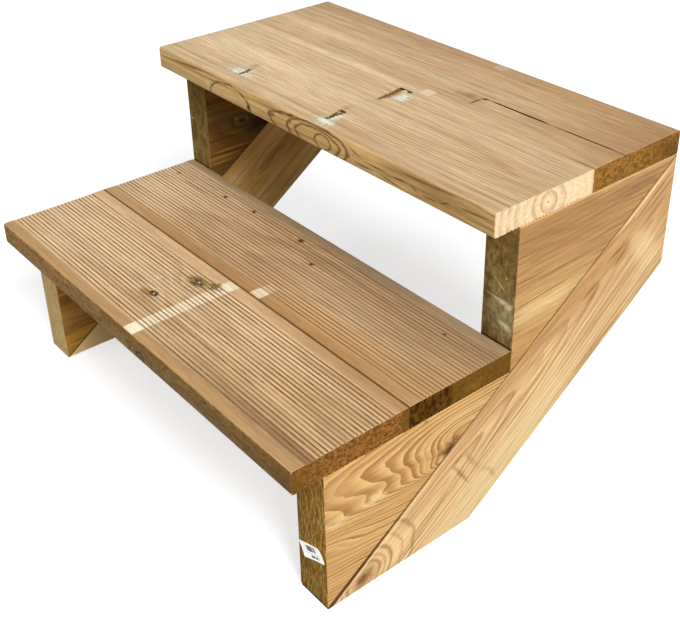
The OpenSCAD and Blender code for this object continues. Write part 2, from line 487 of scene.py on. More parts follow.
# Sizes and places are in mm. What follows a patch's colour is its amount, softness,
# raggedness and grain.
TIMBERS = {
    "lower_tread_front_board": Timber(
        early="sand", late="cocoa", pith=(72, -70), ring=6.5, lean=(0.01, 0), contrast=0.5, slow=16,
        streak="cream", bloom=0.05, lines=0.35, fibre=0.9, grooves=0.95, seed=1.3, end="rust_end",
        end_other="bark", end_mix=0.9, end_grain=(4.2, 2.6),
        end_patches=(
            board_end(2, 8, 9, 20, "olive_end", 0.8, 0.7, 0.6),
            board_end(6, 12, 38, 40, "olive_end", 0.5, 1, 0.6),
            board_end(137, 14, 7, 30, "olive_end", 0.8, 0.6, 0.5, square=1),
        ),
        knots=(Knot((276, 107, 28), (30, 22, ANY), 12), Knot((263, 57, 28), (20, 12, ANY), 6)),
        patches=(
            top(60, 70, 260, 200, "sand_light", 0.5, 1, 0.2),
            top(540, 80, 210, 200, "almond", 0.35, 1, 0.2),
            top(300, 4, ANY, 13, "almond", 0.95, 0.4, 0.2, square=1),
            top(300, 136, ANY, 14, "rose", 0.45, 0.5, 0.2, square=1),
            top(520, 136, 220, 14, "almond", 0.5, 0.8, 0.2, square=1),
            top(600, 136, 190, 13, "tan", 0.5, square=1), top(640, 22, 420, 14, "bark", 0.7, square=1),
            top(200, 78, 330, 40, "sand_light", 0.35), top(390, 106, 220, 26, "sand_light", 0.5),
            batten_mark(311, 6, 10, 9, 0.75), batten_mark(309, 130, 10, 12, 0.15),
            batten_mark(310, 70, 10, 74, 0.85), *resin_spot(241, 81, 6, 5),
            top(284, 112, 32, 16, "lichen", 0.9, 0.8, 1, (14, 4, 3)),
            top(252, 106, 12, 6, "amber", 0.35, 1, 0.6),
            top(255, 55, 13, 8, "amber", 0.75, 0.9, 0.9, (9, 3, 3)),
        ),
        marks=(
            top(276, 110, 21, 12, "knot", 1, 0.8, 0.6, (6, 3, 3)),
            top(270, 108, 8, 4, "lichen", 0.7, 0.8, 2, (2.4, 2.4, 3)),
            top(280, 111, 3.4, 2.2, "haze", 0.95, 0.8, 0.8, (2, 2, 3)),
            top(300, 119, 13, 10, "bark", 0.85, 0.8, 2.6, (4, 2, 2)),
            top(265, 60, 8.5, 6.4, "knot", 1, 0.5, 0.7, (3, 3, 3)),
            top(266, 60, 1.6, 1.3, "resin", 0.8, 0.4, 0),
            # Dirt and painted shade on the board's side in the joint with the back board.
            top(300, 140.6, ANY, 1.2, "walnut", 0.9, 0.4, 0, square=1, deep=30),
        ),
    ),
    "lower_tread_front_edge": Timber(
        early="drab", late="umber", pith=(70, -6), ring=4, lean=(0, 0.03), contrast=0.9, slow=10,
        fine=1.5, streak="olive", streaks=0.7, bloom=0.1, lines=0.45, fibre=1.2, grime=0.85, seed=1.3,
        knots=(
            Knot((334, 0, 5), (20, ANY, 9), 9),
            Knot((461, 0, 22), (16, ANY, 8), 6, (2.5, ANY, 2), "crack", 0.6),
            Knot((180, 0, 14), (60, ANY, 9), 12),
        ),
        patches=(
            front(60, 14, 190, 30, "ginger", 0.3), front(480, 14, 240, 30, "olive", 0.6),
            front(590, 14, 90, 40, "bark", 0.45),
        ),
        marks=(
            front(334, 6, 7, 6, "crack", 0.9, 0.6, 0.5, (3, 3, 3), rim=0.3),
            front(334, 6, 3, 2.5, "crack", 0.8, 0.6, 0.8, (3, 3, 3)),
            front(348, 10, 10, 3, "bark", 0.7, 0.8, 0.9, (4, 3, 3)),
        ),
    ),
    "lower_tread_back_board": Timber(
        early="sand_dusk", late="cocoa", pith=(60, -120), ring=6, lean=(0, 0.02), contrast=0.5, slow=16,
        streak="driftwood", streaks=0.6, bloom=0.1, fibre=0.9, grooves=1.25, seed=7.1, end="dark_end",
        end_other="olive_end", end_grain=(7, 9),
        end_patches=(
            board_end(104, 14, 66, 40, "olive_end", 0.9, 0.6, 1.2, (22, 14, 20), square=1),
            board_end(88, 10, 20, 9, "gold_end", 0.35, 1, 1.6, (9, 6, 9)),
        ),
        knots=(
            pin_knot(24, 101, 2.2), pin_knot(125, 109, 2.2), pin_knot(183, 113, 2.2),
            pin_knot(280, 113, 3.4), pin_knot(332, 90, 2), pin_knot(535, 108, 1.8),
        ),
        patches=(
            top(40, 80, 230, 200, "sand_light", 0.5, 1, 0.2),
            top(540, 130, 330, 130, "driftwood", 0.75, 1, 0.2),
            top(300, 135, ANY, 13, "driftwood", 0.7, 0.7, square=1),
            top(300, 6, ANY, 11, "almond", 0.9, 0.4, 0.2, square=1),
            top(340, 6, 280, 10, "amber", 0.4, 0.5, 0.2, square=1),
            top(450, 28, 220, 30, "ginger", 0.6, 0.9), top(420, 50, 190, 50, "sand_light", 0.2),
            top(620, 50, 90, 70, "ginger", 0.5), top(150, 22, 100, 12, "ginger", 0.5, 0.9),
            top(155, 17, 155, 1.6, "cream", 0.8, 0.6, square=1), batten_mark(343, 7, 10, 9, 0.65),
            batten_mark(343, 20, 9, 10, 0.3), top(78, 95, 40, 2, "bark", 0.6, 0.6, 0.6),
            # Dirt and painted shade on the board's side in the joint with the front board.
            Patch((300, -0.6, 24), (ANY, 1.3, 30), "walnut", 0.9, 0.4, 0, square=1),
        ),
    ),
    "upper_tread_front_board": Timber(
        early="straw", late="tan", pith=(74, 14), ring=10.5, contrast=0.3, slow=24, fine=3, bloom=0,
        lines=0.22, fibre=1, grooves=0.4, groove_depth=0.45, seed=3.7, end="pale_end",
        end_other="blush_end", end_mix=0.35, end_rings=0.5, end_grain=(6, 6),
        end_patches=(
            board_end(17, 14, 14, 11, "blush_end", 0.7, 0.8, 0.5),
            board_end(120, 14, 30, 30, "pale_end", 0.75, 0.6, 0.2, square=1),
            board_end(74, 14, 1.2, 1.2, "knot", 0.8, 0.6, 0.2),
        ),
        knots=(
            Knot((136, 42, 28), (26, 14, ANY), 9), Knot((318, 40, 28), (26, 14, ANY), 9),
            Knot((322, 124, 28), (20, 20, ANY), 9),
        ),
        patches=(
            top(230, 60, 170, 90, "sand_light", 0.4, 1, 0.4),
            top(50, 70, 200, 90, "sand_light", 0.45, 1, 0.4), top(120, 78, 190, 24, "sand_light", 0.6),
            top(190, 5, 50, 10, "tan", 0.4, 1, 0.4), top(620, 80, 240, 160, "tan", 0.25),
            *resin_spot(144, 31, 25, 13, 0.75), *resin_spot(330, 13, 18, 12, 0.85),
            *resin_spot(331, 28, 6, 14, 0.7), *resin_spot(336, 120, 14, 11, 0.9),
            top(141, 52, 9, 14, "tan", 0.5, 1, 0.8, (5, 5, 3)),
            top(318, 54, 9, 12, "tan", 0.5, 1, 0.8, (5, 5, 3)),
            top(420, 4, 280, 9, "tan", 0.28, 0.7, square=1),
            top(300, 19.5, ANY, 0.9, "bark", 0.5, 0.6, 0.4, square=1),
        ),
        marks=(
            *spike_knot((150, 22), (146, 44), 2.6, 3.4),
            top(152, 32, 2.4, 7, "knot", 0.7, 0.8, 1.2, (3, 4, 3), deep=5),
            *spike_knot((326, 19), (321.5, 47), 2.8, 9),
            top(322, 39, 2.6, 5, "sand", 0.75, 0.9, 1.2, (3, 4, 3), deep=5),
            top(322, 114, 8, 22, "umber", 0.75, 0.9, 1.8, (3, 6, 3), deep=5),
            *spike_knot((322, 98), (317, 141), 2.8, 6, "bark", 0.95),
            top(318, 139, 7, 4, "crack", 1, 0.6, 0.6, (3, 3, 3), deep=5),
            top(325, 139.6, 9, 1.8, "crack", 0.9, 0.6, 0.5, (3, 3, 3), deep=5),
            top(325, 136, 3, 2.2, "resin", 0.7, 0.8, 0.8, (3, 3, 3), deep=5),
            top(331, 138, 5, 4, "crack", 1, 0.6, 0.6, (3, 3, 3), deep=5),
            # Painted shade on the eased edge of the joint near the right end.
            top(590, 140, 40, 0.9, "bark", 0.8, 0.5, 0.2, deep=9),
        ),
    ),
    "upper_tread_front_edge": Timber(
        early="wheat", late="umber", pith=(60, -40), ring=5.2, lean=(0, 0.01), contrast=0.5,
        streak="amber", streaks=0.4, bloom=0.05, lines=0.25, fibre=1, seed=3.7, band=0.5,
        patches=(
            front(130, 7, 200, 14, "cream", 0.5), front(500, 22, 160, 16, "tan", 0.5),
            front(68, 22, 66, 2.4, "walnut", 0.8, 0.8, 0.9, slope=0.06),
            front(513, 23.5, 64, 2.6, "walnut", 0.75, 1, 0.9, slope=0.05),
            front(113, 13, 7, 5.5, "cream", 0.7, 0.8, 0.4), edge_ring(160, 2, 42, 21),
            edge_ring(320, 11, 77, 15), front(400, 14, 52, 40, "wheat", 0.9, 0.5),
            edge_ring(331, 11, 53.5, 16.5), edge_ring(331, 10, 39, 12.5), edge_ring(341, 10.5, 14, 8.4),
            edge_line(396, 18, 16, -0.33), edge_line(430, 12.6, 24, 0), edge_line(467, 12.6, 18, 0.08),
            edge_line(489, 10.4, 9, -0.4), edge_line(511, 8, 15, 0.06), edge_line(533, 11.4, 10, 0.35),
            edge_line(570, 16, 32, 0.06), edge_line(412, 6.6, 26, 0.05), edge_line(452, 5.6, 22, -0.1),
            front(283, 23, 10, 2.2, "walnut", 0.8, 0.8, 0.8),
            front(300, 1.5, ANY, 1.4, "cream", 0.6, 0.8, 0.4, square=1),
        ),
        marks=(front(200, 6, 6, 5, "crack", 0.9, 0.8, 1.2, (3, 3, 3)),),
    ),
    "upper_tread_back_board": Timber(
        early="straw", late="tan", pith=(40, -60), ring=8, lean=(0, 0.03), contrast=0.35, slow=22,
        fine=2.5, streaks=0.6, bloom=0.05, fibre=1, grooves=0.35, groove_depth=0.3, seed=9.2,
        end_other="olive_end", end_mix=0.75, end_grain=(7, 5),
        end_patches=(
            board_end(128, 8, 30, 16, "olive_end", 0.8, 0.8, 0.6),
            board_end(50, 2, 60, 6, "umber", 0.6, 1, 0.6),
            board_end(115, 14, 62, 40, "bark", 0.4, 1, 0.4),
        ),
        patches=(
            top(370, 20.5, 45, 0.9, "bark", 0.4, 0.7, 0.6, square=1, deep=5),
            top(300, 99, ANY, 1, "bark", 0.25, 0.7, 0.6, square=1, deep=5),
            batten_mark(345, 11, 9, 9, 0.5), batten_mark(348, 132, 9, 9, 0.35),
            top(300, 70, ANY, 150, "tan", 0.18, square=1), top(300, 132, ANY, 42, "tan", 0.45, square=1),
            top(180, 5, 330, 10, "sand_light", 0.5, 0.8), top(90, 55, 240, 18, "sand_light", 0.55),
            top(640, 70, 330, 170, "amber", 0.42), top(640, 90, 150, 130, "cocoa", 0.55),
            top(384, 39, 32, 14, "cocoa", 0.8, 1, 0.8, (9, 5, 5)),
            top(455, 47.5, 53, 1.4, "crack", 1, 0.5, 0.5, square=1, deep=9),
            top(552, 47.5, 52, 1, "crack", 0.85, 0.6, 0.5, square=1, deep=9),
            top(404, 46, 5.5, 4.2, "crack", 1, 0.7, 1, (3, 3, 3)),
            top(400, 33, 2.6, 14, "walnut", 0.95, 0.7, 0.9, (3, 5, 3)),
            # Painted shade on the eased edge of the joint near the right end.
            Patch((590, 0, 24), (40, 0.8, 30), "bark", 0.8, 0.5, 0.2),
        ),
    ),
    "right_lower_block": Timber(
        early="corn", late="amber", pith=(146, 1.7), ring=4.5, lean=(-0.04, 0.172), contrast=1.2, slow=8,
        fine=4.5, streak="ginger", streaks=0.4, bloom=0, lines=0.15, fibre=0.7, seed=5.5, band=-0.1,
        end="sawn_end", end_other="moss_end", end_mix=0.75, end_grain=(9, 1.8),
        # Painted shadow of the tread above, across the top of the block's sawn front.
        end_patches=(block_end(164, 12, 34, 40, "bark", 0.6, 1, 0.4),),
        knots=(
            Knot((174, 124, 44), (48, 24, ANY), -20), Knot((80, 103, 44), (130, 14, ANY), -13),
            Knot((150, 103, 44), (26, 13, ANY), -16), Knot((-10, 84, 44), (60, 16, ANY), 14),
        ),
        patches=(
            side(60, 0, 190, 62, "ginger", 0.6), side(62, 110, 20, 9, "cream", 0.6, 0.9, 1.6, (8, 4, 5)),
            side(14, 108, 24, 8, "cream", 0.5, 0.9, 1.6, (8, 4, 5)),
            side(100, 90, 26, 9, "ginger", 0.6, 0.9, 1.4, (9, 5, 5)),
            side(28, 148, 16, 12, "ginger", 0.6, 0.9, 1.4, (9, 5, 5)),
            side(12, 148, 36, 30, "fawn", 0.7, 1, 0.4), side(10, 62, 34, 34, "fawn", 0.5, 1, 0.4),
            side(175, 154, 70, 20, "cream", 0.2, 1, 0.6),
        ),
        marks=(
            side(167, 119, 18, 13, "bark", 0.9, 0.8, 1.8, (4, 3, 4)),
            side(158, 116, 14, 7, "bark", 0.85, 0.8, 1.2, (5, 3, 4)),
            side(164, 113, 9, 8, "crack", 0.9, 0.8, 1.2, (4, 3, 3)),
            side(170, 121, 5, 4, "tan", 0.5, 0.8, 1.6, (3, 3, 3)),
            side(128, 170, 4, 2.6, "bark", 0.6, 0.8, 1, (3, 3, 3)),
            side(140, 118.4, 15, 1.1, "umber", 0.75, 0.8, 0.4, slope=-0.11),
        ),
    ),
    "right_upper_block": Timber(
        early="fawn", late="umber", pith=(-160, 10), ring=7, lean=(0.06, 0), contrast=0.55, slow=12,
        streak="tan", streaks=0.45, bloom=0.05, lines=0.5, fibre=1, seed=2.5, band=0.4, end="dusk_end",
        end_other="shade_end", end_mix=0.7, end_grain=(16, 9),
        end_patches=(
            scratch(23.5, 97, 12, 1.3, -0.73, 0.7), scratch(22, 90, 6.5, 1.5, 1.79, 0.55),
            scratch(20, 80, 19, 2, -0.1, 0.9), scratch(29, 78.5, 13, 4.6, -0.08, 0.9),
            scratch(36, 76, 8, 6.5, 0, 0.7), scratch(32, 66, 3.2, 8, 0, 0.35),
            scratch(30, 53, 11, 3.8, -0.06), scratch(35, 50, 8, 5.5, 0, 0.6),
            scratch(31, 107.6, 1.4, 1.4, 0), block_end(62, 26, 46, 34, "scratch", 0.22, 1, 0.6),
            block_end(28, 22, 2.2, ANY, "crack", 0.85, 0.8, 0.2, square=1),
        ),
        patches=(
            side(45, 66, 105, 17, "cream", 0.55, 0.9, 0.9, (40, 5, 5), slope=0.1),
            side(60, 62, 110, 62, "honey", 0.4, 1, 0.4),
            side(30, 26, 90, 24, "ginger", 0.6, 0.9, square=1),
            side(40, 150, 190, 42, "tan", 0.85, 1, 0.8, (40, 8, 5)),
            side(185, 157, 56, 16, "cocoa", 0.65, 0.9, 0.8, (20, 6, 5)),
            side(50, 80, 80, 1.2, "umber", 0.75, 0.7, 0.5, slope=0.07),
            side(90, 103, 90, 1.1, "walnut", 0.6, 0.7, 0.5, slope=0.06),
            side(140, 116, 60, 1.1, "walnut", 0.6, 0.7, 0.5, slope=0.06),
            side(120, 171, ANY, 1.6, "honey", 0.5, 0.6, 0.2, square=1),
        ),
    ),
    "left_lower_block": Timber(
        early="gold", late="bark", pith=(60, -90), ring=9, lean=(0.1, 0), contrast=0.6, slow=8, fine=3,
        streak="amber", bloom=0, lines=0.4, seed=4.4, band=0.3, end="drab_end", end_other="moss_end",
        end_grain=(9, 1.8),
        patches=(
            side(16, 57, 26, 2.2, "walnut", 0.8, 0.9, 0.6, slope=-0.15),
            side(18, 45, 26, 2.6, "walnut", 0.8, 0.9, 0.6, slope=0.15),
            side(16, 21, 22, 2, "walnut", 0.7, 0.9, 0.6), side(14, 86, 30, 8, "umber", 0.6, 1, 0.8),
            side(22, 58, 46, 36, "ginger", 0.4, 1, 0.4),
            side(50, 35, 70, 2.6, "crack", 0.85, 0.8, slope=0.699, square=1),
        ),
    ),
    "left_upper_block": Timber(
        early="old_gold", late="bark", pith=(70, -80), ring=9, lean=(0.03, 0), contrast=0.8, slow=10,
        fine=4, streak="bark", streaks=0.7, bloom=0, lines=0.5, seed=6.6, band=0.2, end="dusk_end",
        end_other="shade_end", end_grain=(16, 6),
        end_patches=(
            # Painted shade under the tread: the first patch darkens the front towards its top.
            block_end(150, 22, 110, 80, "crack", 0.3),
            block_end(92, 6, 1.6, 8, "scratch", 0.7, 0.7, 0.8, (3, 3, 3)),
            block_end(28, 22, 2.2, ANY, "crack", 0.7, 0.8, 0.2, square=1),
        ),
        knots=(Knot((55, 84, 44), (22, 14, ANY), 14),),
        patches=(
            # Painted shade under the tread: the first two patches darken the upper part of the face,
            # nearly black toward the sloping board.
            side(40, 100, 60, 46, "bark", 0.5, 1, 0.6), side(86, 74, 38, 24, "crack", 1, 0.8, 0.6),
            side(34, 49, 46, 2.2, "gold", 0.7, 1, 0.8), side(26, 41, 40, 2, "gold", 0.7, 1, 0.8),
            side(20, 33, 30, 1.8, "gold", 0.6, 1, 0.8),
        ),
        marks=(
            side(56, 84, 9, 6, "crack", 0.85, 0.8, 0.8, (4, 4, 4)),
            side(46, 90, 6, 4, "moss", 0.45, 1, 1.8, (4, 4, 4)),
            side(64, 85, 5, 3, "moss", 0.35, 1, 1.8, (4, 4, 4)),
        ),
    ),
    "right_sloping_board": Timber(
        early="butter", late="tan", pith=(82, 56), ring=6, lean=(0, -0.11), contrast=0.75, slow=7, fine=3,
        streak="fawn", streaks=0.45, bloom=0, lines=0.4, fibre=1, seed=8.3, band=0.3,
        patches=(
            side(300, 112, ANY, 60, "peach", 0.35, square=1),
            side(190, 14, 220, 46, "cream", 0.7, 0.7, 0.4, square=1),
            side(400, 102, 330, 42, "amber", 0.5, 1, 0.4), side(410, 8, 90, 24, "fawn", 0.35, 1, 0.4),
            side(560, 84, 120, 40, "rose", 0.8, 1, 0.6), side(576, 40, 60, 80, "fawn", 0.75, 0.8, 0.4),
            side(440, 92, 110, 22, "fawn", 0.75, 1, 0.6),
            side(478, 80, 34, 11, "amber", 0.6, 0.9, 0.7, (20, 4, 4), slope=-0.15),
            side(480, 60, 150, 80, "fawn", 0.35, 1, 0.4), side(510, 48, 25, 46, "cream", 0.55, 0.8, 0.6),
            side(60, 84, 70, 34, "butter", 0.85, 0.6, 0.5), side(46, 94, 30, 20, "amber", 0.75, 1, 0.9),
            *(side(44, 94, reach, 0.75 * reach, "umber", depth, 1, 0.2, (24, 20, 20), rim=4.0 / reach)
              for reach, depth in ((23, 0.6), (31, 0.4), (40, 0.65), (56, 0.35), (73, 0.5))),
            side(208, 68, 5.5, 44, "tan", 0.4, 1, 1.8, (7, 14, 5)),
            side(189, 68, 4.2, 30, "umber", 0.65, 1, 1.4, (6, 12, 4)),
            side(197, 88, 11, 4, "umber", 0.6, 1, 1.4, (5, 4, 4)),
            side(214, 22, 4.5, 26, "tan", 0.4, 1, 1.6, (7, 14, 5)),
            *(grain_line(*place) for place in (
                (100, 60, 32, 1, -0.02), (150, 66, 30, 0.9, 0.14), (76, 52, 16, 1, 0.3),
                (245, 62, 60, 0.8, 0.14), (560, 90, 45, 1.3, 0.02), (556, 98, 50, 1, 0.02),
                (540, 80, 40, 0.9, 0.02), (580, 66, 22, 0.9, 0.04), (480, 88, 24, 1.6, -0.2),
                (482, 78, 20, 1.4, 0.18), (427, 74, 16, 1.2, 0.1), (427, 84, 20, 1.4, -0.12),
            )),
            side(540, 107, 60, 2.4, "cream", 0.8, 0.6, square=1),
            side(90, 107.2, 120, 1.5, "cream", 0.9, 0.6), side(0, 112, 150, 3.2, "crack", 1, 0.4, 0.1),
            side(300, 112, ANY, 1.5, "bark", 0.9, 0.5, 0.2, square=1),
        ),
        marks=(
            side(45, 95, 21, 13, "umber", 0.75, 1, 1.2, (7, 4, 4)),
            side(43, 97, 10, 6, "bark", 0.7, 1, 1.2, (6, 4, 4)),
        ),
    ),
    "left_sloping_board": Timber(
        early="honey", late="walnut", pith=(60, -90), ring=7, lean=(0.05, 0), contrast=0.6, slow=30,
        fine=4, streak="gold", streaks=0.9, bloom=0.1, lines=0.35, seed=11.9, band=0.3,
        knots=(Knot((395, 66, 44), (34, 13, ANY), 16),),
        patches=(
            # Painted light: the first patch lays a bright tone over the board's tip, where light falls on
            # it.
            side(30, 56, 190, 140, "painted_sunlight", 1, 0.8), side(385, 98, 90, 13, "gold", 0.5, 1, 0.4),
            side(400, 66, 60, 12, "bark", 0.55, 1, 1.4, (24, 4, 4)),
            side(430, 50, 50, 30, "bark", 0.4, 1, 0.4),
            side(300, 112, ANY, 1.3, "bark", 0.85, 0.4, 0.2, square=1),
        ),
    ),
}


class Finish:
    """Makes the finishes of the timbers and of the tag, in each one's own coordinates."""

    def __init__(self, colours):
        self.colours = colours
        self.rings = rings_group()
        self.knot = knot_group()
        self.patch = patch_group()

    def hue(self, name):
        return (*getattr(self.colours, name), 1.0)

    def point(self, tree, axes, origin):
        """The timber's own coordinates in mm: l, w and t."""
        turn = Matrix(axes)
        place = add(tree, "TexCoord")
        return add(tree, "Mapping", {
            "Vector": place.outputs["Object"], "Scale": (1 / MM,) * 3,
            "Rotation": turn.to_euler(), "Location": -(turn @ origin) / MM,
        })

    def grown(self, tree, timber, point):
        """The rings of a timber, with its knots' swirls. Returns rings and knots."""
        lift, knots = 0.0, []
        for k in timber.knots:
            knot = add(tree, "Group", {
                "Point": point, "Centre": k.at, "Spread": k.spread, "Height": k.height,
                "Heart Size": k.heart or (1, 1, 1),
            }, node_tree=self.knot)
            lift = add(tree, "Math", [lift, knot.outputs["Lift"]], operation="ADD")
            knots.append(knot)
        rings = add(tree, "Group", {
            "Point": point, "Pith": (0, *timber.pith), "Lean": (0, *timber.lean),
            "Ring Width": timber.ring, "Slow Wave": timber.slow, "Fine Wave": timber.fine,
            "Lift": lift, "Seed": timber.seed, "Band": timber.band,
        }, node_tree=self.rings)
        return rings, knots

    def laid(self, tree, shade, hue, cover, amount=1.0):
        """Another colour over the shade, as far as the cover says."""
        part = add(tree, "Math", [cover, amount], operation="MULTIPLY")
        return add(tree, "Mix", {"Factor": part, "A": shade, "B": self.hue(hue)}, data_type="RGBA")

    def clouded(self, tree, shade, hue, clouds, amount, start, full, fade="SMOOTHSTEP"):
        """Another colour where the clouds run from start to full."""
        cover = add(tree, "MapRange", {
            "Value": clouds, "From Min": start, "From Max": full, "To Max": amount,
        }, interpolation_type=fade)
        return self.laid(tree, shade, hue, cover)

    def speckled(self, tree, shade, clouds, start, full, least, most):
        """The shade made darker and lighter in turn, as the clouds run from start to full."""
        light = add(tree, "MapRange", {
            "Value": clouds, "From Min": start, "From Max": full, "To Min": least, "To Max": most,
        })
        return add(tree, "Mix", {"Factor": 1.0, "A": shade, "B": light},
                   data_type="RGBA", blend_type="MULTIPLY")

    def mask(self, tree, point, patch):
        """Where a patch lies, from 0 to 1."""
        rise, skew, climb = patch.slope
        return add(tree, "Group", {
            "Point": point, "Centre": patch.at, "Half Size": patch.half, "Softness": patch.soft,
            "Square": patch.square, "Ragged": patch.ragged, "Grain": patch.grain,
            "W Row": (-rise, 1, -skew), "T Row": (-climb, 0, 1), "Rim": patch.rim,
        }, node_tree=self.patch)

    def patched(self, tree, shade, point, patches):
        for patch in patches:
            shade = self.laid(tree, shade, patch.hue, self.mask(tree, point, patch), patch.amount)
        return shade

    def knotted(self, tree, shade, knots, nodes):
        """Dark hearts where branches come through, each with a halo in the wood round it."""
        for knot, node in zip(knots, nodes):
            if not knot.heart:
                continue
            # The branch has close rings of its own, two to its radius.
            turns = add(tree, "Math", [node.outputs["Distance"], 14.0], operation="MULTIPLY")
            wave = add(tree, "Math", [turns], operation="SINE")
            rings_in_heart = add(tree, "MapRange", {"Value": wave, "From Min": -1.0, "To Min": 0.8})
            shade = self.laid(tree, shade, "umber", node.outputs["Halo"], knot.halo)
            shade = self.laid(tree, shade, knot.hue, node.outputs["Heart"], rings_in_heart)
        return shade

    def dirt(self, tree, shade, point, timber):
        """Dirt and painted shade in the grooves of a board's top, thickest on their floors."""
        place = add(tree, "SeparateXYZ", [point])
        across, height = place.outputs["Y"], place.outputs["Z"]
        floor = BOARD_TOP - timber.groove_depth
        cover = add(tree, "MapRange", {
            "Value": height, "From Min": BOARD_TOP - 0.1, "From Max": floor,
            "To Max": timber.grooves,
        }, interpolation_type="SMOOTHSTEP")
        # Only the face's own grooves hold it, not the edge below them or the plain
        # margins. Each has its own share of it, changing along the groove.
        share = figure(tree, point, (120, 4, ANY), timber.seed, 1.0)
        for value, start, full, least in (
            (height, BOARD_TOP - 3, BOARD_TOP - 2, 0), (across, 10, 12, 0),
            (across, BOARD_WIDTH - 10, BOARD_WIDTH - 12, 0), (share, 0.35, 0.62, 0.45),
        ):
            limit = add(tree, "MapRange", {
                "Value": value, "From Min": start, "From Max": full, "To Min": least})
            cover = add(tree, "Math", [cover, limit], operation="MULTIPLY")
        return self.laid(tree, shade, "groove", cover)

    def surfaced(self, tree, shade, relief, coarse, roughness, sheen):
        """Closes a finish with its relief, as deep in mm as it is coarse.

        Dry wood bends light about as the shader does at first, and has little sheen.
        """
        bump = add(tree, "Bump", {"Height": relief, "Strength": coarse, "Distance": coarse * MM})
        surface = add(tree, "BsdfPrincipled", {
            "Base Color": shade, "Roughness": roughness, "Normal": bump,
            "Specular IOR Level": sheen,
        })
        add(tree, "OutputMaterial", {"Surface": surface})

    def along_grain(self, name, axes, origin):
        """Planed pine, pressure-treated: rings, fibre, streaks, knots and marks.

        The planer leaves the long faces closed and smooth, and rain has taken their
        lustre, so they show a soft light with the fibre in it and no gloss.
        """
        timber = TIMBERS[name]
        material = bpy.data.materials.new("planed_pine_" + name)
        tree = blank(material)
        point = self.point(tree, axes, origin)
        rings, knots = self.grown(tree, timber, point)
        late = add(tree, "Math", [rings, timber.contrast], operation="MULTIPLY")
        shade = self.laid(tree, self.hue(timber.early), timber.late, late)
        # Thin dark lines where late wood runs out at the surface.
        line = figure(tree, point, (150, 3.6, 3.6), timber.seed + 2, rough=0.6, twist=0.3)
        shade = self.clouded(tree, shade, timber.late, line, timber.lines * 1.7, start=0.53, full=0.66)
        # Broad streaks of other wood, far longer than wide.
        streak = figure(tree, point, (230, 13, 13), timber.seed)
        shade = self.clouded(tree, shade, timber.streak, streak, timber.streaks, start=0.42, full=0.72)
        # The treatment leaves a greenish bloom in clouds.
        bloom = figure(tree, point, (120, 45, 45), timber.seed + 5, 4.0)
        shade = self.clouded(tree, shade, "moss", bloom, timber.bloom * 2, start=0.45, full=0.75,
                             fade="LINEAR")
        shade = self.patched(tree, shade, point, timber.patches)
        # Fibre: fine dark and light dashes along the grain, drawn 1 mm wide so as to show.
        fibre = figure(tree, point, (38, 1.1, 1.1), timber.seed, rough=0.6)
        shade = self.speckled(tree, shade, fibre, start=0.3, full=0.7,
                              least=1 - 0.3 * timber.fibre, most=1 + 0.2 * timber.fibre)
        shade = self.knotted(tree, shade, timber.knots, knots)
        shade = self.patched(tree, shade, point, timber.marks)
        if timber.grime:
            # Handling and splashes leave the sawn edge mottled.
            grime = figure(tree, point, (7, 3, 3), timber.seed, 4.0, rough=0.7)
            shade = self.clouded(tree, shade, "bark", grime, timber.grime, start=0.45, full=0.65)
        # Dirt and painted shade in the grooves, darker with depth.
        if timber.grooves:
            shade = self.dirt(tree, shade, point, timber)
        relief = add(tree, "Math", [fibre, 0.5, late], operation="MULTIPLY_ADD")
        self.surfaced(tree, shade, relief, coarse=0.35, roughness=0.62, sheen=0.06)
        return material

    def sawn_end(self, name, axes, origin):
        """End grain of the pine, left from the saw: rough and dull.

        Its open pores take up treatment and dirt, so it is dark and specked.
        """
        timber = TIMBERS[name]
        material = bpy.data.materials.new("sawn_end_grain_" + name)
        tree = blank(material)
        point = self.point(tree, axes, origin)
        rings, _ = self.grown(tree, timber, point)
        # Saw marks and torn pores in two tones.
        across, through = timber.end_grain
        speck = figure(tree, point, (3, across, through), timber.seed, 4.0, rough=0.65)
        shade = self.clouded(tree, self.hue(timber.end), timber.end_other, speck, timber.end_mix,
                             start=0.44, full=0.58)
        shade = self.laid(tree, shade, "amber", rings, timber.end_rings)
        shade = self.patched(tree, shade, point, timber.end_patches)
        pore = figure(tree, point, (2, across / 2.2, through / 2.2), timber.seed + 3, 2.0)
        shade = self.speckled(tree, shade, pore, start=0.35, full=0.6,
                              least=1 - 0.45 * timber.end_mix, most=1 + 0.1 * timber.end_mix)
        self.surfaced(tree, shade, speck, coarse=0.5, roughness=0.85, sheen=0.03)
        return material

    def printed_paper(self, axes, origin):
        """Coated paper with plain bars: a row of upright ones and two short lines.

        The coating is calendered, so it is even and white with a faint sheen.
        """
        material = bpy.data.materials.new("coated_paper")
        tree = blank(material)
        point = self.point(tree, axes, origin)
        place = add(tree, "SeparateXYZ", [point])
        # Upright bars 1.1 mm apart, of which a quarter are left out.
        cell = add(tree, "Math", [place.outputs["X"], 1.1], operation="SNAP")
        thick = add(tree, "TexWhiteNoise", {"W": cell}, noise_dimensions="1D")
        bars = add(tree, "Math", [thick, 0.25], operation="GREATER_THAN")
        ink = 0.0
        for at, half, strength in (((16, 12.5, 0), (10, 3.5, ANY), bars),
                                   ((18.5, 6.9, 0), (12.5, 0.5, ANY), 0.5),
                                   ((22, 3.7, 0), (8, 1.5, ANY), bars)):
            row = self.mask(tree, point, Patch(at, half, "ink", soft=0.06, ragged=0.0, square=1))
            inked = add(tree, "Math", [row, strength], operation="MULTIPLY")
            ink = add(tree, "Math", [inked, ink], operation="MAXIMUM")
        shade = self.laid(tree, self.hue("paper"), "ink", ink)
